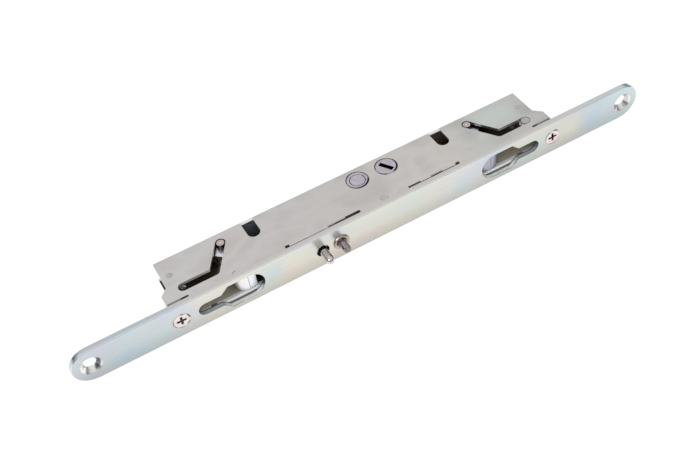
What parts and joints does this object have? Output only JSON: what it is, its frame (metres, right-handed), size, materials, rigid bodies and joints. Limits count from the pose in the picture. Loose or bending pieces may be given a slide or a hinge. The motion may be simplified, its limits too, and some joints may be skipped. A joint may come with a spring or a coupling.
{
  "type": "sliding door mortise lock",
  "caption": "Mortise lock for a sliding door: a long round-ended faceplate, a flat sheet steel case, hooks that come out of keyhole openings, a slotted hub and sprung front pins.",
  "frame": {"origin": "the middle of the faceplate's front face, halfway between its two mounting holes", "axes": "+X along the lock towards the slotted hub's end, +Y from the faceplate's front into the door, +Z out of the case's cover"},
  "size_m": [0.293, 0.04, 0.019],
  "materials": {
    "plate_zinc": "satin",
    "case_steel": "satin",
    "post_steel": "satin",
    "screw_nickel": "polished",
    "hub_steel": "satin",
    "bar_steel": "satin",
    "pinion_brass": "satin",
    "hook_nickel": "polished",
    "guide_pin_steel": "satin",
    "trigger_chrome": "polished",
    "short_pin_bronze": "oiled",
    "bush_bronze": "satin",
    "spring_steel": "satin"
  },
  "bodies": {
    "case": {"faceplate": "plate_zinc", "case_body": "case_steel", "case_cover": "case_steel", "spacer_posts": "post_steel", "bar_guides": "post_steel", "screw_blocks": "post_steel", "case_screws": "screw_nickel", "pinion_axle": "post_steel", "trigger_spring": "spring_steel", "short_pin_bush": "bush_bronze", "short_pin_spring": "spring_steel", "bar_spring": "spring_steel", "bar_spring_rivets": "post_steel", "stroke_stop": "post_steel"},
    "drive_hub": {"drive_hub": "hub_steel"},
    "idle_hub": {"idle_hub": "hub_steel"},
    "left_bar": {"left_drive_bar": "bar_steel"},
    "right_bar": {"right_drive_bar": "bar_steel"},
    "pinion": {"reversing_pinion": "pinion_brass"},
    "left_hook": {"left_hook": "hook_nickel", "left_guide_pin": "guide_pin_steel"},
    "right_hook": {"right_hook": "hook_nickel", "right_guide_pin": "guide_pin_steel"},
    "trigger": {"trigger_pin": "trigger_chrome"},
    "lever": {"trigger_lever": "bar_steel"},
    "short_pin": {"short_pin": "short_pin_bronze"}
  },
  "joints": [
    {"name": "hub_turn", "type": "hinge", "parent": "case", "child": "drive_hub", "pos_m": [0.0195, 0.024, 0], "axis": [0, 0, -1], "range_deg": [0, 118.5]},
    {"name": "idle_hub_turn", "type": "hinge", "parent": "case", "child": "idle_hub", "pos_m": [0.0041, 0.024, 0], "axis": [0, 0, -1], "range_deg": [0, 118.5]},
    {"name": "left_bar_slide", "type": "slide", "parent": "case", "child": "left_bar", "axis": [-1, 0, 0], "range_m": [0, 0.0091]},
    {"name": "right_bar_slide", "type": "slide", "parent": "case", "child": "right_bar", "axis": [1, 0, 0], "range_m": [0, 0.0091]},
    {"name": "pinion_turn", "type": "hinge", "parent": "case", "child": "pinion", "pos_m": [0.033, 0.0109, 0], "axis": [0, 0, 1], "range_deg": [0, 144.85]},
    {"name": "left_hook_throw", "type": "slide", "parent": "case", "child": "left_hook", "axis": [-0.5464, -0.8376, 0], "range_m": [0, 0.01666]},
    {"name": "right_hook_throw", "type": "slide", "parent": "case", "child": "right_hook", "axis": [0.5464, -0.8376, 0], "range_m": [0, 0.01666]},
    {"name": "trigger_push", "type": "slide", "parent": "case", "child": "trigger", "axis": [0, 1, 0], "range_m": [0, 0.005], "stiffness_N_per_m": 300, "springref_m": -0.004, "deforming": ["trigger_spring"]},
    {"name": "lever_turn", "type": "hinge", "parent": "case", "child": "lever", "pos_m": [0.0084, 0.0066, 0], "axis": [0, 0, -1], "range_deg": [0, 7.95]},
    {"name": "short_pin_push", "type": "slide", "parent": "case", "child": "short_pin", "axis": [0, 1, 0], "range_m": [0, 0.004], "stiffness_N_per_m": 250, "springref_m": -0.004, "deforming": ["short_pin_spring"]}
  ],
  "couplings": [
    {"joint": "hub_turn", "follows": "left_bar_slide", "rad_per_m": 227.27},
    {"joint": "idle_hub_turn", "follows": "left_bar_slide", "rad_per_m": 227.27},
    {"joint": "right_bar_slide", "follows": "left_bar_slide", "ratio": 1},
    {"joint": "pinion_turn", "follows": "left_bar_slide", "rad_per_m": 277.78},
    {"joint": "left_hook_throw", "follows": "left_bar_slide", "ratio": 1.8303},
    {"joint": "right_hook_throw", "follows": "left_bar_slide", "ratio": 1.8303},
    {"joint": "lever_turn", "follows": "trigger_push", "rad_per_m": 27.7}
  ]
}
